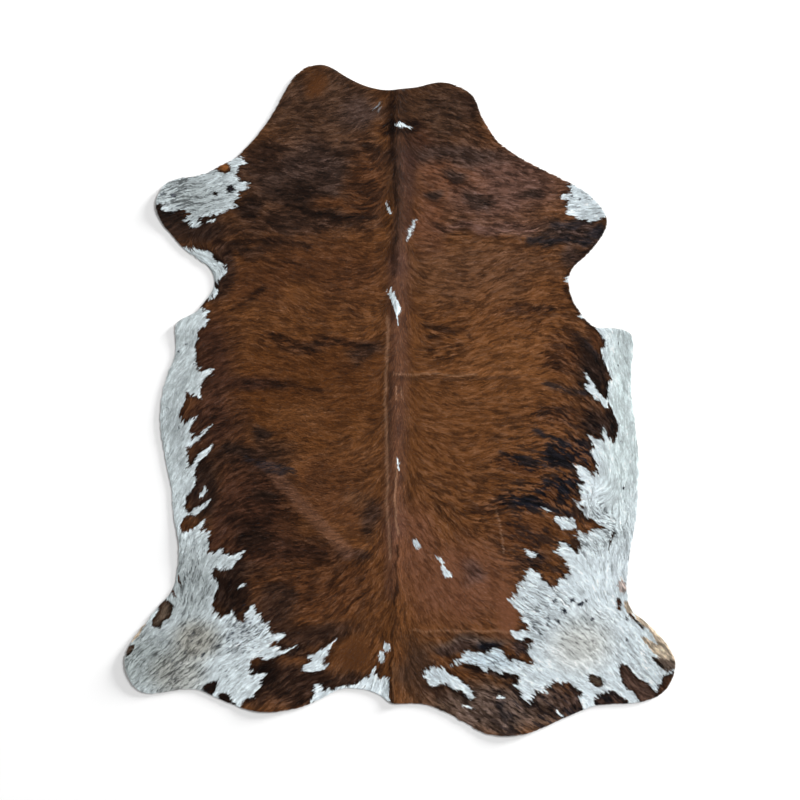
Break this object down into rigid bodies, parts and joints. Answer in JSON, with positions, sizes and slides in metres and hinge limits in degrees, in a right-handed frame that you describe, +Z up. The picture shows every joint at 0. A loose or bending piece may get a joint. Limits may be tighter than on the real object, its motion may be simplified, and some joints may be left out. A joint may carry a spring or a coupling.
{
  "type": "cowhide rug",
  "caption": "Whole hair-on cowhide laid flat as a floor rug: natural trimmed outline of neck, legs and rump, brown brindle coat with white legs and flanks.",
  "frame": {"origin": "on the floor, under the middle of the hide's bounding box", "axes": "+Y along the backbone towards the neck, +X to the animal's right as seen from above, +Z up out of the coat"},
  "size_m": [1.8098, 2.21, 0.0121],
  "materials": {
    "coat": "hair-on hide: short glossy flat-lying brown brindle hair with white legs and flanks, over pale suede-backed leather"
  },
  "bodies": {
    "root": {"hide": "coat"}
  },
  "joints": []
}
